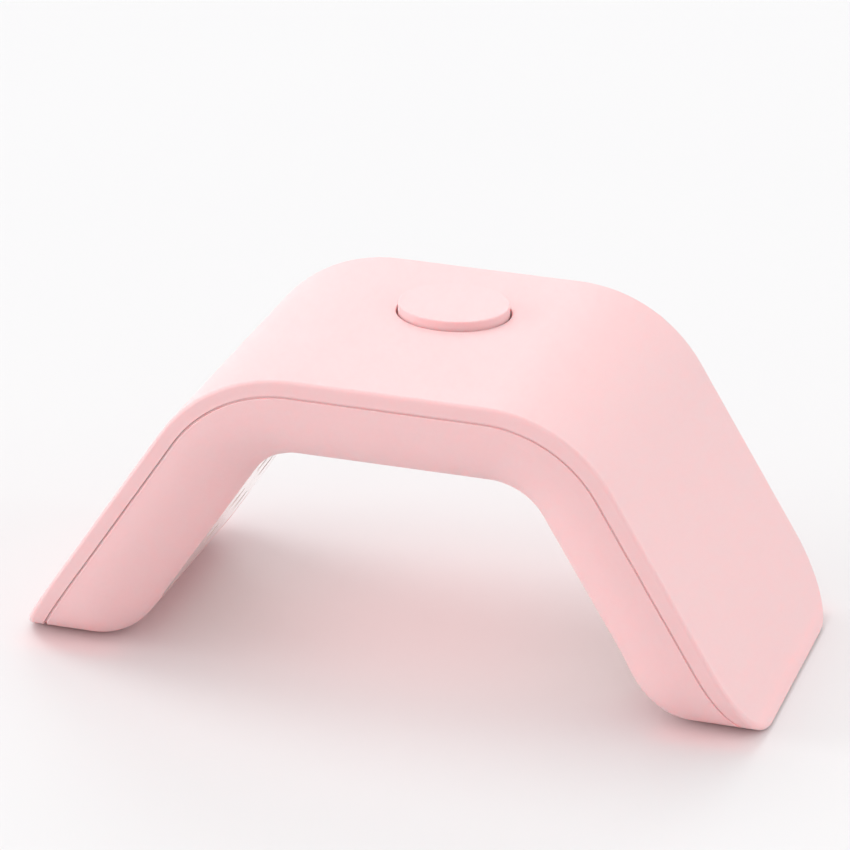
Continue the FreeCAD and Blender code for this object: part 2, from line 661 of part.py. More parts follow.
def make_switch_body():
    body = rounded_block(SWITCH_SIDE, SWITCH_SIDE, SWITCH_HEIGHT, 0, BUTTON_Y, BOARD_TOP_Z,
                         SWITCH_CORNER_RADIUS)
    well_floor = SWITCH_TOP_Z - PLUNGER_ROOT - BUTTON_TRAVEL - STOP_CLEARANCE
    well = post(PLUNGER_DIAMETER + STEM_RUNNING_CLEARANCE, 0, BUTTON_Y, well_floor, SWITCH_TOP_Z + NICK)
    leg_x = (SWITCH_SIDE + SWITCH_LEG_SIZE[0]) / 2.0
    legs = [block(*SWITCH_LEG_SIZE, x * leg_x, BUTTON_Y + y * SWITCH_LEG_Y, BOARD_TOP_Z)
            for x in (-1, 1) for y in (-1, 1)]
    return Part.makeCompound([body.cut(well)] + legs)


# ---- main board and what is soldered to it ----
def make_main_board():
    length = BOARD_REAR_Y - BOARD_FRONT_Y
    middle = (BOARD_REAR_Y + BOARD_FRONT_Y) / 2.0
    board = rounded_block(2 * BOARD_HALF_LENGTH, length, BOARD_THICKNESS, 0, middle, BOARD_BOTTOM_Z,
                          BOARD_CORNER_RADIUS)
    return board.cut([post(BOARD_SCREW_PASSAGE, x, y, BOARD_BOTTOM_Z - NICK, BOARD_TOP_Z + NICK)
                      for x, y in board_post_places()])


def usb_profile(margin, length, start_y):
    """Rounded slot shape of the power inlet, extruded towards the rear."""
    width = USB_WIDTH + 2 * margin
    height = USB_HEIGHT + 2 * margin
    body = Part.makeBox(width, length, height, Vector(-width / 2.0, start_y, USB_MIDDLE_Z - height / 2.0))
    lengthwise = [edge for edge in body.Edges if edge.BoundBox.YLength > length / 2.0]
    return body.makeFillet((height - USB_SIDE_FLAT) / 2.0, lengthwise)


def make_usb_shell():
    outside = usb_profile(0, USB_LENGTH, USB_MOUTH_Y - USB_LENGTH)
    return outside.cut(usb_profile(-USB_WALL, USB_LENGTH, USB_BACK_Y))


def make_usb_tongue():
    root_width, root_length, root_height = USB_ROOT_SIZE
    root = block(root_width, root_length, root_height, 0, USB_BACK_Y + root_length / 2.0,
                 USB_MIDDLE_Z - root_height / 2.0)
    blade_middle = USB_BACK_Y + root_length + USB_TONGUE_LENGTH / 2.0
    blade = block(USB_TONGUE_WIDTH, USB_TONGUE_LENGTH, USB_TONGUE_THICKNESS, 0, blade_middle,
                  USB_MIDDLE_Z - USB_TONGUE_THICKNESS / 2.0)
    return fused([root, blade])


def make_usb_contacts():
    """Two rows of thin strips lying on the tongue's upper and lower faces."""
    middle_y = USB_BACK_Y + USB_ROOT_SIZE[1] + USB_TONGUE_LENGTH / 2.0
    above_tongue = USB_MIDDLE_Z + USB_TONGUE_THICKNESS / 2.0
    below_tongue = USB_MIDDLE_Z - USB_TONGUE_THICKNESS / 2.0 - USB_CONTACT_THICKNESS
    strips = []
    for index in range(USB_CONTACT_COUNT):
        x = (index - (USB_CONTACT_COUNT - 1) / 2.0) * USB_CONTACT_PITCH
        for bottom in (above_tongue, below_tongue):
            strips.append(block(USB_CONTACT_WIDTH, USB_CONTACT_LENGTH, USB_CONTACT_THICKNESS,
                                x, middle_y, bottom))
    return Part.makeCompound(strips)


def make_controller_chip():
    x, y = CHIP_PLACE
    body = block(*CHIP_SIZE, x, y, BOARD_TOP_Z + LEG_STANDOFF)
    first = x - CHIP_LEG_PITCH * (CHIP_LEGS_A_SIDE - 1) / 2.0
    row_y = (CHIP_SIZE[1] + CHIP_LEG_SIZE[1]) / 2.0
    legs = [block(*CHIP_LEG_SIZE, first + CHIP_LEG_PITCH * column, y + row * row_y, BOARD_TOP_Z)
            for column in range(CHIP_LEGS_A_SIDE) for row in (-1, 1)]
    return Part.makeCompound([body] + legs)


def make_driver_transistors():
    solids = []
    for x, y in TRANSISTOR_PLACES:
        solids.append(block(*TRANSISTOR_SIZE, x, y, BOARD_TOP_Z + LEG_STANDOFF))
        for dx, dy in TRANSISTOR_LEG_OFFSETS:
            solids.append(block(*TRANSISTOR_LEG_SIZE, x + dx, y + dy, BOARD_TOP_Z))
    return Part.makeCompound(solids)


def inductor_ring(outer, inner, bottom, top):
    x, y = INDUCTOR_PLACE
    ring = post(outer, x, y, BOARD_TOP_Z + bottom, BOARD_TOP_Z + top)
    return ring.cut(post(inner, x, y, BOARD_TOP_Z, BOARD_TOP_Z + INDUCTOR_HEIGHT))


def make_inductor_core():
    core = rounded_block(INDUCTOR_SIDE, INDUCTOR_SIDE, INDUCTOR_HEIGHT, *INDUCTOR_PLACE, BOARD_TOP_Z,
                         INDUCTOR_CORNER_RADIUS)
    return core.cut(inductor_ring(2 * INDUCTOR_SIDE, INDUCTOR_BOBBIN_DIAMETER, INDUCTOR_FLANGE,
                                  INDUCTOR_HEIGHT - INDUCTOR_FLANGE))


def make_inductor_winding():
    edge = INDUCTOR_FLANGE + WINDING_CLEARANCE
    return inductor_ring(WINDING_DIAMETER, INDUCTOR_BOBBIN_DIAMETER + WINDING_CLEARANCE, edge,
                         INDUCTOR_HEIGHT - edge)


def make_storage_capacitors():
    solids = []
    top = BOARD_TOP_Z + CAPACITOR_HEIGHT
    for x, y in CAPACITOR_PLACES:
        base = rounded_block(CAPACITOR_BASE_SIDE, CAPACITOR_BASE_SIDE, CAPACITOR_BASE_HEIGHT,
                             x, y, BOARD_TOP_Z, CAPACITOR_BASE_CORNER)
        can = post(CAPACITOR_DIAMETER, x, y, BOARD_TOP_Z + CAPACITOR_BASE_HEIGHT, top)
        rim = [edge for edge in can.Edges if edge.BoundBox.ZMin > top - SAME]
        solids.append(fused([base, can.makeFillet(CAPACITOR_RIM_ROUNDING, rim)]))
    return Part.makeCompound(solids)


def make_chip_resistors():
    length, width, height = CHIP_RESISTOR_SIZE
    x, y = RESISTOR_ROW_START
    solids = [block(length, width, height, x + RESISTOR_ROW_PITCH * index, y, BOARD_TOP_Z)
              for index in range(RESISTOR_ROW_COUNT)]
    x, y = RESISTOR_COLUMN_START
    solids.extend([block(width, length, height, x + RESISTOR_COLUMN_PITCH * index, y, BOARD_TOP_Z)
                   for index in range(RESISTOR_COLUMN_COUNT)])
    return Part.makeCompound(solids)


def make_ceramic_capacitors():
    return Part.makeCompound([block(*CERAMIC_SIZE, x, y, BOARD_TOP_Z) for x, y in CERAMIC_PLACES])


def socket(x, y, turn):
    """Two-way wire socket with its mouth towards +X before it is turned."""
    hole_x = (SOCKET_SIZE[0] - SOCKET_HOLE_SIZE[0] + 2 * NICK) / 2.0
    holes = [block(*SOCKET_HOLE_SIZE, hole_x, side * LEAD_PITCH / 2.0, SOCKET_FLOOR) for side in (-1, 1)]
    body = block(*SOCKET_SIZE, 0, 0, 0).cut(holes)
    body.rotate(Vector(0, 0, 0), Vector(0, 0, 1), turn)
    body.translate(Vector(x, y, BOARD_TOP_Z))
    return body


def make_wire_sockets():
    return Part.makeCompound([socket(SIDE_SOCKET_X, SIDE_SOCKET_Y, 0),
                              socket(-SIDE_SOCKET_X, SIDE_SOCKET_Y, 180),
                              socket(0, FRONT_SOCKET_Y, -90)])


def round_route(points, radii):
    """Wire of straight runs joined by tangent arcs."""
    edges = []
    start = points[0]
    for corner, following, radius in zip(points[1:-1], points[2:], radii):
        arrive = (corner - start).normalize()
        leave = (following - corner).normalize()
        half_turn = arrive.getAngle(leave) / 2.0
        reach = radius * math.tan(half_turn)
        first = corner - arrive * reach
        last = corner + leave * reach
        bulge = (leave - arrive).normalize() * (radius / math.cos(half_turn) - radius)
        edges.append(Part.makeLine(start, first))
        edges.append(Part.Arc(first, corner + bulge, last).toShape())
        start = last
    edges.append(Part.makeLine(start, points[-1]))
    return Part.Wire(edges)


def lead(points, radii):
    path = round_route(points, radii)
    direction = points[1] - points[0]
    section = Part.Wire(Part.makeCircle(LEAD_DIAMETER / 2.0, points[0], direction))
    return path.makePipeShell([section], True, False)


def make_leads(offset):
    """One colour of lead: to the left board, the right board and the top board."""
    shift = offset * LEAD_PITCH / 2.0
    solids = []
    for side in (-1, 1):
        along = Vector(0, SIDE_SOCKET_Y + shift, 0)
        leg_run = leg_point(LEAD_RUN_DEPTH, 0, side)
        back = (leg_run.z - LEAD_START_Z) / math.sin(ANGLE)
        points = [Vector(side * (BOARD_HALF_LENGTH - LEAD_PLUG_DEPTH), 0, LEAD_START_Z),
                  leg_point(LEAD_RUN_DEPTH, back, side),
                  leg_point(LEAD_RUN_DEPTH, LEG_LED_STEPS[0], side),
                  leg_point(LED_BOARD_DEPTH, LEG_LED_STEPS[0], side)]
        solids.append(lead([point + along for point in points], [LEAD_BEND_RADIUS, LEAD_DROP_RADIUS]))
    front = BOARD_FRONT_Y - LEAD_FRONT_REACH
    points = [Vector(shift, BOARD_FRONT_Y + LEAD_PLUG_DEPTH, LEAD_START_Z),
              Vector(shift, front, LEAD_START_Z),
              Vector(shift, front, HEIGHT - LED_BOARD_DEPTH)]
    solids.append(lead(points, [LEAD_DROP_RADIUS]))
    return Part.makeCompound(solids)


# ---- LED boards ----
def make_top_led_board():
    board = rounded_block(2 * TOP_BOARD_HALF_LENGTH, 2 * TOP_BOARD_HALF_WIDTH, LED_BOARD_THICKNESS,
                          0, 0, HEIGHT - LED_FACE_DEPTH, BOARD_CORNER_RADIUS)
    return board.cut([post(SMALL_SCREW_PASSAGE, x, 0, HEIGHT - BODY_THICKNESS, HEIGHT)
                      for x in TOP_BOARD_SCREW_XS])


def make_leg_led_board(side):
    length = LEG_BOARD_END - LEG_BOARD_START
    middle = (LEG_BOARD_END + LEG_BOARD_START) / 2.0
    board = rounded_block(length, 2 * LEG_BOARD_HALF_WIDTH, LED_BOARD_THICKNESS, middle, 0,
                          up_from_bend(LED_FACE_DEPTH), BOARD_CORNER_RADIUS)
    board = board.cut([post(SMALL_SCREW_PASSAGE, step, 0, 0, BEND_RADIUS)
                       for step in LEG_BOARD_SCREW_STEPS])
    return on_leg(board, side)


def led_package(x, y, face):
    """Square package hanging below the board, with a round pocket in its lower face."""
    bottom = face - LED_PACKAGE_HEIGHT
    body = block(LED_SIDE, LED_SIDE, LED_PACKAGE_HEIGHT, x, y, bottom)
    return body.cut(post(LED_POCKET_DIAMETER, x, y, bottom - NICK, bottom + LED_POCKET_DEPTH))


def led_die(x, y, face):
    """Square light-giving chip on the roof of the package's pocket."""
    roof = face - LED_PACKAGE_HEIGHT + LED_POCKET_DEPTH
    return block(LED_DIE_SIDE, LED_DIE_SIDE, LED_DIE_HEIGHT, x, y, roof - LED_DIE_HEIGHT)


def led_lens(x, y, face):
    """Clear dome hanging below the package."""
    radius = LED_LENS_DIAMETER / 2.0
    base = face - LED_PACKAGE_HEIGHT
    centre = base - LED_LENS_STRAIGHT
    neck = Part.makeCylinder(radius, LED_LENS_STRAIGHT, Vector(x, y, centre))
    dome = Part.makeSphere(radius, Vector(x, y, centre), Vector(0, 0, 1), -90, 0, 360)
    return fused([neck, dome])


def make_top_leds(maker):
    return Part.makeCompound([maker(x, y, HEIGHT - LED_FACE_DEPTH) for x, y in top_led_places()])


def make_leg_leds(maker, side):
    face = up_from_bend(LED_FACE_DEPTH)
    return Part.makeCompound([on_leg(maker(step, y, face), side) for step, y in leg_led_places()])


# ---- the assembly ----
def build_nodes():
    return {
        "top_cover": make_top_cover(),
        "lower_housing": make_lower_housing(),
        "reflector_liner": make_reflector_liner(),
        "foot_pad_left": make_foot_pad(-1),
        "foot_pad_right": make_foot_pad(1),
        "housing_screws": make_housing_screws(),
        "button_cap": make_button_cap(),
        "button_guide": make_button_guide(),
        "guide_screws": make_guide_screws(),
        "button_return_spring": make_return_spring(),
        "switch_plunger": make_switch_plunger(),
        "switch_body": make_switch_body(),
        "main_board": make_main_board(),
        "board_screws": make_board_screws(),
        "usb_shell": make_usb_shell(),
        "usb_tongue": make_usb_tongue(),
        "usb_contacts": make_usb_contacts(),
        "controller_chip": make_controller_chip(),
        "driver_transistors": make_driver_transistors(),
        "inductor_core": make_inductor_core(),
        "inductor_winding": make_inductor_winding(),
        "storage_capacitors": make_storage_capacitors(),
        "chip_resistors": make_chip_resistors(),
        "ceramic_capacitors": make_ceramic_capacitors(),
        "wire_sockets": make_wire_sockets(),
        "red_leads": make_leads(1),
        "black_leads": make_leads(-1),
        "led_board_top": make_top_led_board(),
        "led_board_left": make_leg_led_board(-1),
        "led_board_right": make_leg_led_board(1),
        "led_board_screws": make_led_board_screws(),
        "led_packages_top": make_top_leds(led_package),
        "led_packages_left": make_leg_leds(led_package, -1),
        "led_packages_right": make_leg_leds(led_package, 1),
        "led_dies_top": make_top_leds(led_die),
        "led_dies_left": make_leg_leds(led_die, -1),
        "led_dies_right": make_leg_leds(led_die, 1),
        "led_lenses_top": make_top_leds(led_lens),
        "led_lenses_left": make_leg_leds(led_lens, -1),
        "led_lenses_right": make_leg_leds(led_lens, 1),
    }


def main():
    os.makedirs(PARTS_DIR, exist_ok=True)
    for name, shape in build_nodes().items():
        shape.exportStep(os.path.join(PARTS_DIR, name + ".step"))
        print(name, "solids", len(shape.Solids), "valid", shape.isValid(), "volume", round(shape.Volume, 1))


main()
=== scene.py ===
import json
import math

import bmesh
import bpy
from mathutils import Matrix, Vector


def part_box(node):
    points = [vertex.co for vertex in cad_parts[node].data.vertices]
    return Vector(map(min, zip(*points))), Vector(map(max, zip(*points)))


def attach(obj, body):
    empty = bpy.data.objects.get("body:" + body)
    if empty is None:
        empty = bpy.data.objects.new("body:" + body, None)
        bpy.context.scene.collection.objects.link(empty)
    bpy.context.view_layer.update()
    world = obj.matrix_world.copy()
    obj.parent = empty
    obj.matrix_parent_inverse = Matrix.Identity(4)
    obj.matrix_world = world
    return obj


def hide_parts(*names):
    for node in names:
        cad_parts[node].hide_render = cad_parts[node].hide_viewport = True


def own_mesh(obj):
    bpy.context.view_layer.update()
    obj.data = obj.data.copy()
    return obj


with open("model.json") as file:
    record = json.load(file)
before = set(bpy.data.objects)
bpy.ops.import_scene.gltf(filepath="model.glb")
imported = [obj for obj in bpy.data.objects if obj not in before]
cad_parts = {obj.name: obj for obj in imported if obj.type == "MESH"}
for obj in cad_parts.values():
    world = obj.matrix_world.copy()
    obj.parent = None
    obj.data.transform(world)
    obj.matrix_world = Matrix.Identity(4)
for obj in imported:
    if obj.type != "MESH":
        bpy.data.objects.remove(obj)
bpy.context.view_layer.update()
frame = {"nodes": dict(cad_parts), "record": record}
record = frame["record"]

MM = 0.001


# ---- camera: a long lens, from the front right and above ----
CAMERA_AZIMUTH = math.radians(15.26)
CAMERA_ELEVATION = math.radians(22.66)
CAMERA_ROLL = math.radians(1.95)
CAMERA_DISTANCE = 1.1404
CAMERA_TARGET = Vector((0.0, 0.0, 0.030))
CAMERA_AIM_RIGHT = -0.00184
CAMERA_AIM_UP = 0.01959
CAMERA_VIEW_ANGLE = math.radians(10.054)
CAMERA_SENSOR = 36.0
CAMERA_NEAREST = 0.05
CAMERA_FARTHEST = 20.0


def make_camera():
    azimuth, elevation = CAMERA_AZIMUTH, CAMERA_ELEVATION
    back = Vector((math.sin(azimuth) * math.cos(elevation), -math.cos(azimuth) * math.cos(elevation),
                   math.sin(elevation)))
    level = Vector((math.cos(azimuth), math.sin(azimuth), 0))
    upright = back.cross(level)
    right = math.cos(CAMERA_ROLL) * level + math.sin(CAMERA_ROLL) * upright
    up = math.cos(CAMERA_ROLL) * upright - math.sin(CAMERA_ROLL) * level
    place = CAMERA_TARGET + back * CAMERA_DISTANCE
    aim = CAMERA_TARGET + right * CAMERA_AIM_RIGHT + up * CAMERA_AIM_UP
    lens_back = (place - aim).normalized()
    lens_right = up.cross(lens_back).normalized()
    lens_up = lens_back.cross(lens_right)
    data = bpy.data.cameras.new("camera")
    data.sensor_width = CAMERA_SENSOR
    data.sensor_fit = "HORIZONTAL"
    data.angle = CAMERA_VIEW_ANGLE
    data.clip_start = CAMERA_NEAREST
    data.clip_end = CAMERA_FARTHEST
    camera = bpy.data.objects.new("camera", data)
    rotation = Matrix((lens_right, lens_up, lens_back)).transposed()
    camera.matrix_world = Matrix.Translation(place) @ rotation.to_4x4()
    bpy.context.scene.collection.objects.link(camera)
    bpy.context.scene.camera = camera


# ---- material building blocks ----
NOISE_LOW = 0.3
NOISE_HIGH = 0.7


class Finish:
    """A Principled material with helpers for procedural colour, roughness and relief."""

    def __init__(self, name, roughness=0.5, metallic=0.0, **constants):
        self.material = bpy.data.materials.new(name)
        self.material.use_nodes = True
        self.nodes = self.material.node_tree.nodes
        self.links = self.material.node_tree.links
        self.shader = self.nodes["Principled BSDF"]
        self.shader.inputs["Roughness"].default_value = roughness
        self.shader.inputs["Metallic"].default_value = metallic
        for socket, value in constants.items():
            self.shader.inputs[socket.replace("_", " ")].default_value = value
        self.place = self.nodes.new("ShaderNodeTexCoord").outputs["Object"]

    def noise(self, scale, detail=2.0, roughness=0.5, stretch=None):
        node = self.nodes.new("ShaderNodeTexNoise")
        node.inputs["Scale"].default_value = scale
        node.inputs["Detail"].default_value = detail
        node.inputs["Roughness"].default_value = roughness
        place = self.place
        if stretch:
            mapping = self.nodes.new("ShaderNodeMapping")
            mapping.inputs["Scale"].default_value = stretch
            self.links.new(place, mapping.inputs["Vector"])
            place = mapping.outputs["Vector"]
        self.links.new(place, node.inputs["Vector"])
        return node.outputs["Fac"]

    def cells(self, scale, metric="EUCLIDEAN"):
        node = self.nodes.new("ShaderNodeTexVoronoi")
        node.distance = metric
        node.inputs["Scale"].default_value = scale
        self.links.new(self.place, node.inputs["Vector"])
        return node.outputs["Distance"]

    def stripes(self, scale, direction):
        node = self.nodes.new("ShaderNodeTexWave")
        node.bands_direction = direction
        node.inputs["Scale"].default_value = scale
        self.links.new(self.place, node.inputs["Vector"])
        return node.outputs["Fac"]

    def product(self, first, second):
        node = self.nodes.new("ShaderNodeMath")
        node.operation = "MULTIPLY"
        self.links.new(first, node.inputs[0])
        self.links.new(second, node.inputs[1])
        return node.outputs["Value"]

    def band(self, value, low, high, to_low=0.0, to_high=1.0):
        node = self.nodes.new("ShaderNodeMapRange")
        limits = {"From Min": low, "From Max": high, "To Min": to_low, "To Max": to_high}
        for socket, number in limits.items():
            node.inputs[socket].default_value = number
        self.links.new(value, node.inputs["Value"])
        return node.outputs["Result"]

    def swing(self, noise, to_low=0.0, to_high=1.0):
        """Stretches the range that a noise mostly stays in over a new one."""
        return self.band(noise, NOISE_LOW, NOISE_HIGH, to_low, to_high)

    def mix(self, factor, first, second):
        node = self.nodes.new("ShaderNodeMix")
        node.data_type = "RGBA"
        self.links.new(factor, node.inputs["Factor"])
        for socket, colour in (("A", first), ("B", second)):
            target = next(s for s in node.inputs if s.name == socket and s.type == "RGBA")
            if hasattr(colour, "links"):
                self.links.new(colour, target)
            else:
                target.default_value = (*colour, 1.0)
        return next(s for s in node.outputs if s.type == "RGBA")

    def colour(self, source):
        self.links.new(source, self.shader.inputs["Base Color"])
        return self

    def rough(self, source):
        self.links.new(source, self.shader.inputs["Roughness"])
        return self

    def relief(self, *layers):
        """Stacks bump layers, each given as (height, strength, distance in metres)."""
        normal = None
        for height, strength, distance in layers:
            node = self.nodes.new("ShaderNodeBump")
            node.inputs["Strength"].default_value = strength
            node.inputs["Distance"].default_value = distance
            self.links.new(height, node.inputs["Height"])
            if normal:
                self.links.new(normal, node.inputs["Normal"])
            normal = node.outputs["Normal"]
        self.links.new(normal, self.shader.inputs["Normal"])
        return self


def shade(colour, factor):
    return tuple(min(1.0, part * factor) for part in colour)


# ---- finishes ----
PINK = (0.885, 0.582, 0.590)
WARM_WHITE = (0.93, 0.90, 0.86)
STEEL = (0.62, 0.61, 0.60)
PLASTIC_DEPTH = 0.4 * MM
PLASTIC_BLEED = (1.0, 0.35, 0.33)


def pink_plastic(name, colour, roughness):
    """Soft-touch ABS: even colour, very fine spark texture, red light bleeding furthest."""
    finish = Finish(name, roughness, Subsurface_Weight=1.0, Subsurface_Scale=PLASTIC_DEPTH)
    finish.shader.inputs["Subsurface Radius"].default_value = PLASTIC_BLEED
    finish.shader.inputs["Specular IOR Level"].default_value = 0.42
    drift = finish.noise(14.0, detail=3.0)
    speck = finish.noise(900.0, detail=2.0)
    tone = finish.mix(finish.swing(drift), shade(colour, 0.985), shade(colour, 1.01))
    finish.colour(finish.mix(finish.band(speck, 0.35, 0.65), tone, colour))
    finish.rough(finish.swing(finish.noise(45.0, detail=4.0), roughness - 0.03, roughness + 0.04))
    spark = finish.noise(3200.0, detail=1.0)
    flow = finish.noise(160.0, detail=2.0)
    return finish.relief((spark, 0.22, 0.04 * MM), (flow, 0.05, 0.06 * MM))


def moulded(name, colour, roughness, grain=1800.0, depth=0.03, spread=0.06, **constants):
    """Plain moulded plastic, rubber or ceramic: slight cloudiness and a fine grain."""
    finish = Finish(name, roughness, **constants)
    cloud = finish.swing(finish.noise(grain / 12.0, detail=4.0))
    finish.colour(finish.mix(cloud, shade(colour, 1.0 - spread), shade(colour, 1.0 + spread)))
    finish.rough(finish.swing(finish.noise(grain / 5.0), roughness - 0.05, roughness + 0.07))
    return finish.relief((finish.noise(grain, detail=3.0), 0.4, depth * MM))


def metal(name, colour, roughness, brushed=(1.0, 1.0, 1.0)):
    """Bare or plated metal with fine drawing or brushing lines along the unstretched direction."""
    finish = Finish(name, roughness, metallic=1.0)
    lines = finish.noise(900.0, detail=4.0, roughness=0.6, stretch=brushed)
    stain = finish.noise(180.0, detail=3.0)
    finish.colour(finish.mix(finish.swing(stain), shade(colour, 0.88), shade(colour, 1.08)))
    finish.rough(finish.swing(lines, roughness - 0.06, roughness + 0.10))
    return finish.relief((lines, 0.25, 0.01 * MM))


def reflector_sheet(name):
    """Glossy warm white sheet with very shallow pebbles, to throw the lamp's light back; a faint painted
    shade darkens the sunken borders between pebbles.
    """
    finish = Finish(name, 0.14, Coat_Weight=0.6, Coat_Roughness=0.06)
    pebble = finish.cells(650.0)
    # painted shade: a hair lighter on the raised pebble middles and a hair darker in the sunken borders
    tone = finish.mix(finish.band(pebble, 0.0, 0.7), shade(WARM_WHITE, 1.01), shade(WARM_WHITE, 0.99))
    finish.colour(tone)
    finish.rough(finish.swing(finish.noise(300.0), 0.10, 0.20))
    return finish.relief((pebble, 0.05, -0.01 * MM))


def circuit_board(name, mask, copper):
    """Solder mask over copper: blocks of track show through as a lighter, slightly raised tone."""
    finish = Finish(name, 0.32, Coat_Weight=0.4, Coat_Roughness=0.12)
    blocks = finish.cells(170.0, metric="CHEBYCHEV")
    tracks = finish.stripes(420.0, direction="DIAGONAL")
    in_blocks = finish.band(blocks, 0.30, 0.34)
    on_tracks = finish.band(tracks, 0.45, 0.55)
    over_copper = finish.band(finish.product(in_blocks, on_tracks), 0.2, 0.8)
    finish.colour(finish.mix(over_copper, mask, copper))
    finish.rough(finish.swing(finish.noise(500.0), 0.27, 0.40))
    return finish.relief((over_copper, 0.5, 0.035 * MM))


def wound_wire(name, colour):
    """Enamelled copper wire wound in level turns, one every half millimetre, with painted shade darkening
    the sunken gaps between turns.
    """
    finish = Finish(name, 0.28, metallic=1.0, Coat_Weight=0.5, Coat_Roughness=0.1)
    turns = finish.stripes(100.0 * math.pi, direction="Z")
    # painted shade: the colour falls to 45 percent in the sunken gaps between turns
    finish.colour(finish.mix(finish.band(turns, 0.1, 0.6), shade(colour, 0.45), colour))
    finish.rough(finish.swing(finish.noise(900.0), 0.22, 0.36))
    return finish.relief((turns, 0.9, 0.15 * MM))


def chip_die(name):
    """Bare LED die: violet-grey crystal crossed by bright electrode fingers."""
    finish = Finish(name, 0.2, Coat_Weight=0.3)
    fingers = finish.stripes(1200.0, direction="X")
    finish.colour(finish.mix(finish.band(fingers, 0.75, 0.9), (0.16, 0.12, 0.30), (0.72, 0.64, 0.42)))
    finish.rough(finish.swing(finish.noise(2500.0), 0.15, 0.28))
    return finish.relief((fingers, 0.3, 0.01 * MM))


def clear_lens(name):
    """Clear silicone dome with a faint surface ripple."""
    finish = Finish(name, 0.06, Transmission_Weight=1.0, IOR=1.41)
    ripple = finish.noise(700.0, detail=2.0)
    finish.colour(finish.mix(finish.swing(ripple), (0.96, 0.97, 1.0), (1.0, 1.0, 1.0)))
    finish.rough(finish.swing(ripple, 0.03, 0.10))
    return finish.relief((ripple, 0.15, 0.03 * MM))


def make_finishes():
    """One finish for each material slot of the record."""
    return {
        "pink_shell": pink_plastic("pink_shell", PINK, 0.46),
        "pink_housing": pink_plastic("pink_housing", PINK, 0.46),
        "button_pink": pink_plastic("button_pink", shade(PINK, 1.01), 0.42),
        "guide_plastic": moulded("guide_plastic", PINK, 0.45, spread=0.02),
        "plunger_plastic": moulded("plunger_plastic", (0.78, 0.76, 0.70), 0.40),
        "switch_black": moulded("switch_black", (0.028, 0.028, 0.030), 0.42, spread=0.2),
        "socket_cream": moulded("socket_cream", (0.78, 0.72, 0.58), 0.40),
        "pad_rubber": moulded("pad_rubber", (0.33, 0.26, 0.265), 0.75, grain=1400.0, depth=0.06,
                              spread=0.12),
        "lead_red": moulded("lead_red", (0.52, 0.03, 0.03), 0.38, spread=0.10),
        "lead_black": moulded("lead_black", (0.025, 0.025, 0.027), 0.38, spread=0.20),
        "chip_epoxy": moulded("chip_epoxy", (0.035, 0.035, 0.037), 0.55, grain=3500.0, spread=0.25),
        "resistor_black": moulded("resistor_black", (0.045, 0.042, 0.045), 0.35, grain=2600.0, spread=0.25),
        "ceramic_tan": moulded("ceramic_tan", (0.45, 0.33, 0.20), 0.38, grain=2600.0, spread=0.15),
        "ferrite": moulded("ferrite", (0.09, 0.09, 0.095), 0.60, grain=2200.0, depth=0.06, spread=0.25),
        "led_package": moulded("led_package", (0.88, 0.86, 0.78), 0.30, grain=2400.0),
        "usb_tongue_black": moulded("usb_tongue_black", (0.03, 0.03, 0.032), 0.35, spread=0.2),
        "screw_steel": metal("screw_steel", STEEL, 0.28, brushed=(0.2, 1.0, 1.0)),
        "spring_steel": metal("spring_steel", shade(STEEL, 0.92), 0.24),
        "usb_steel": metal("usb_steel", shade(STEEL, 1.08), 0.30, brushed=(1.0, 0.1, 1.0)),
        "usb_gold": metal("usb_gold", (0.88, 0.64, 0.28), 0.25, brushed=(1.0, 0.2, 1.0)),
        "capacitor_can": metal("capacitor_can", (0.76, 0.76, 0.77), 0.33, brushed=(1.0, 1.0, 0.15)),
        "copper_wire": wound_wire("copper_wire", (0.80, 0.36, 0.18)),
        "liner_white": reflector_sheet("liner_white"),
        "board_green": circuit_board("board_green", (0.010, 0.10, 0.035), (0.03, 0.22, 0.07)),
        "board_white": circuit_board("board_white", (0.80, 0.80, 0.78), (0.70, 0.69, 0.64)),
        "led_die": chip_die("led_die"),
        "lens_clear": clear_lens("lens_clear"),
    }


def dress_nodes(finishes):
    slot_of = {row["node"]: row["material_slot"] for row in record["subparts"]}
    for name, node in frame["nodes"].items():
        for slot in node.material_slots:
            slot.material = finishes[slot_of[name]].material


# ---- the return spring as a real coil, in place of its stand-in solid ----
SPRING_WIRE = 0.5 * MM
SPRING_TURNS = 6.5
SPRING_CLOSED_TURNS = 0.75
SPRING_STEPS_PER_TURN = 40
SPRING_WIRE_SIDES = 12


def spring_line(middle, radius, bottom, top):
    """Points of a coil whose first and last turns lie flat against their seats."""
    steps = int(SPRING_TURNS * SPRING_STEPS_PER_TURN)
    closed = SPRING_CLOSED_TURNS / SPRING_TURNS
    points = []
    for step in range(steps + 1):
        along = step / steps
        turn = along * SPRING_TURNS * 2.0 * math.pi
        climb = min(1.0, max(0.0, (along - closed) / (1.0 - 2.0 * closed)))
        end_turns = (min(along, closed) + max(0.0, along - 1.0 + closed)) / closed
        height = bottom + SPRING_WIRE * end_turns + climb * (top - bottom - 2.0 * SPRING_WIRE)
        place = (middle.x + radius * math.cos(turn), middle.y + radius * math.sin(turn), height)
        points.append(Vector(place))
    return points


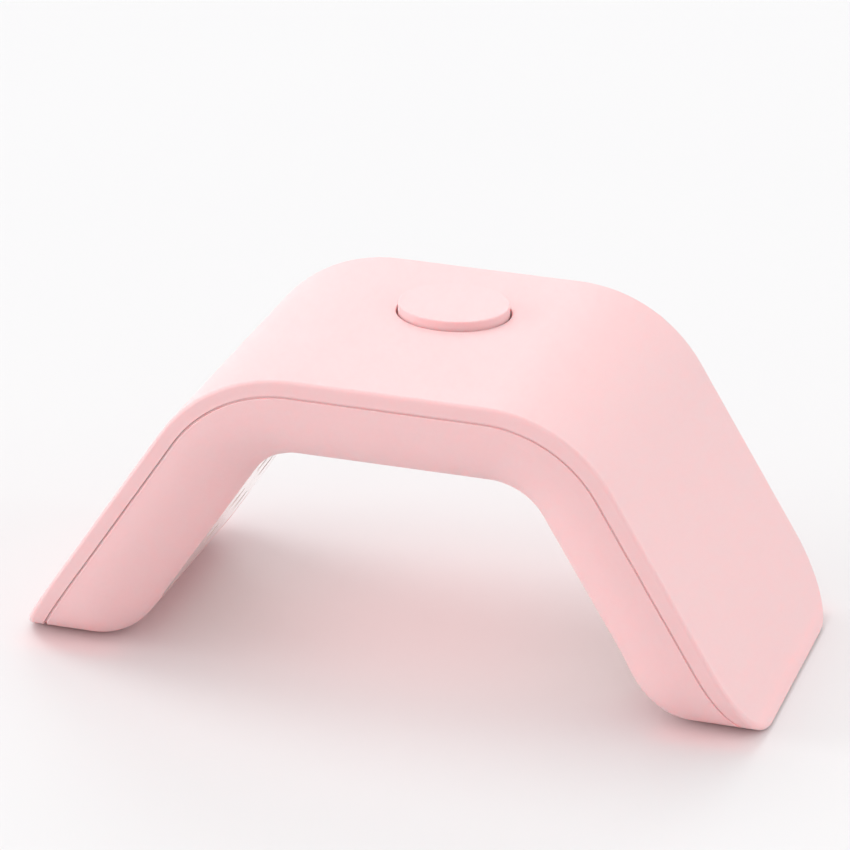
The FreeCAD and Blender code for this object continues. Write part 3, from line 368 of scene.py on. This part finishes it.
def tube(name, points, radius, sides):
    """Round wire along a line of points, with flat ends."""
    mesh = bmesh.new()
    rings = []
    for index, point in enumerate(points):
        ahead = points[min(index + 1, len(points) - 1)] - points[max(index - 1, 0)]
        direction = ahead.normalized()
        across = direction.cross(Vector((0, 0, 1))).normalized()
        upright = across.cross(direction)
        ring = []
        for side in range(sides):
            turn = 2.0 * math.pi * side / sides
            outward = math.cos(turn) * across + math.sin(turn) * upright
            ring.append(mesh.verts.new(point + radius * outward))
        rings.append(ring)
    for lower, upper in zip(rings, rings[1:]):
        for side in range(sides):
            following = (side + 1) % sides
            mesh.faces.new((lower[side], lower[following], upper[following], upper[side])).smooth = True
    mesh.faces.new(list(reversed(rings[0])))
    mesh.faces.new(rings[-1])
    bmesh.ops.recalc_face_normals(mesh, faces=mesh.faces)
    data = bpy.data.meshes.new(name)
    mesh.to_mesh(data)
    mesh.free()
    piece = bpy.data.objects.new(name, data)
    bpy.context.scene.collection.objects.link(piece)
    return piece


def make_spring(finishes):
    low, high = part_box("button_return_spring")
    middle = (Vector(low) + Vector(high)) / 2.0
    radius = (high[0] - low[0] - SPRING_WIRE) / 2.0
    bottom = low[2] + SPRING_WIRE / 2.0
    top = high[2] - SPRING_WIRE / 2.0
    line = spring_line(middle, radius, bottom, top)
    piece = tube("coil_spring", line, SPRING_WIRE / 2.0, SPRING_WIRE_SIDES)
    piece.data.materials.append(finishes["spring_steel"].material)
    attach(piece, "lamp")
    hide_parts("button_return_spring")
    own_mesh(piece)


# ---- floor and light ----
FLOOR_HALF = 3.0
FLOOR_DROP = 0.02 * MM
FLOOR_DARKER = (0.762, 0.758, 0.764)
FLOOR_LIGHTER = (0.772, 0.768, 0.773)

WORLD_LIGHT = 0.88
WORLD_SEEN = 1.0

# each sun: the direction from the lamp towards it, its strength, and its width in degrees
SUNS = {
    "window_left": ((-0.92, -0.335, 0.21), 1.00, 30),
    "key_left": ((-0.52, 0.24, 0.82), 0.76, 34),
    "lamp_behind": ((-0.22, 0.82, 0.53), 0.20, 28),
    "fill_right": ((0.91, 0.0, 0.42), 0.40, 40),
}

# light that the pink casing throws down: the area it comes from, its height, power and colour
ARCH_BOUNCE_SIZE = (0.060, 0.070)
ARCH_BOUNCE_HEIGHT = 0.045
ARCH_BOUNCE_POWER = 0.0093
ARCH_BOUNCE_COLOUR = (1.0, 0.30, 0.32)
FOOT_BOUNCE_SIZE = (0.024, 0.088)
FOOT_BOUNCE_HEIGHT = 0.004
FOOT_BOUNCE_POWER = 0.0016
FOOT_BOUNCE_COLOUR = (1.0, 0.05, 0.05)


def make_floor():
    """Square floor a hair under the foot pads."""
    mesh = bpy.data.meshes.new("floor")
    sides = ((-1, -1), (1, -1), (1, 1), (-1, 1))
    corners = [(x * FLOOR_HALF, y * FLOOR_HALF, -FLOOR_DROP) for x, y in sides]
    mesh.from_pydata(corners, [], [(0, 1, 2, 3)])
    floor = bpy.data.objects.new("floor", mesh)
    bpy.context.scene.collection.objects.link(floor)
    finish = Finish("floor", roughness=0.55)
    finish.shader.inputs["Specular IOR Level"].default_value = 0.25
    cloud = finish.noise(3.0, detail=2.0)
    finish.colour(finish.mix(finish.swing(cloud), FLOOR_DARKER, FLOOR_LIGHTER))
    mesh.materials.append(finish.material)


def soft_sun(name, towards, strength, spread):
    """Even light with soft shadows; towards points from the lamp to the light."""
    data = bpy.data.lights.new(name, "SUN")
    data.energy = strength
    data.angle = math.radians(spread)
    light = bpy.data.objects.new(name, data)
    light.rotation_mode = "QUATERNION"
    light.rotation_quaternion = (-Vector(towards)).to_track_quat("-Z", "Y")
    bpy.context.scene.collection.objects.link(light)


def pink_bounce(name, middle, size, power, colour):
    """Stands in for light that the pink casing throws down on the floor beneath and beside it."""
    data = bpy.data.lights.new(name, "AREA")
    data.shape = "RECTANGLE"
    data.size, data.size_y = size
    data.energy = power
    data.color = colour
    data.use_shadow = False
    light = bpy.data.objects.new(name, data)
    light.location = middle
    light.visible_camera = False
    light.visible_glossy = False
    bpy.context.scene.collection.objects.link(light)


def make_world():
    """Even white surround, seen as bright as the lit floor so that no horizon shows."""
    world = bpy.data.worlds.new("studio")
    world.use_nodes = True
    tree = world.node_tree
    background = tree.nodes["Background"]
    background.inputs["Color"].default_value = (1, 1, 1, 1)
    seen = tree.nodes.new("ShaderNodeLightPath").outputs["Is Camera Ray"]
    strength = tree.nodes.new("ShaderNodeMapRange")
    strength.inputs["To Min"].default_value = WORLD_LIGHT
    strength.inputs["To Max"].default_value = WORLD_SEEN
    tree.links.new(seen, strength.inputs["Value"])
    tree.links.new(strength.outputs["Result"], background.inputs["Strength"])
    bpy.context.scene.world = world


def make_light():
    for name, (towards, strength, spread) in SUNS.items():
        soft_sun(name, towards, strength, spread)
    pink_bounce("bounce_arch", (0, 0, ARCH_BOUNCE_HEIGHT), ARCH_BOUNCE_SIZE, ARCH_BOUNCE_POWER,
                ARCH_BOUNCE_COLOUR)
    for pad in ("foot_pad_left", "foot_pad_right"):
        low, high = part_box(pad)
        middle = ((low[0] + high[0]) / 2.0, 0, FOOT_BOUNCE_HEIGHT)
        pink_bounce("bounce_" + pad, middle, FOOT_BOUNCE_SIZE, FOOT_BOUNCE_POWER, FOOT_BOUNCE_COLOUR)
    make_world()
    bpy.context.scene.view_settings.view_transform = "Standard"


make_camera()
finishes = make_finishes()
dress_nodes(finishes)
make_spring(finishes)
make_floor()
make_light()
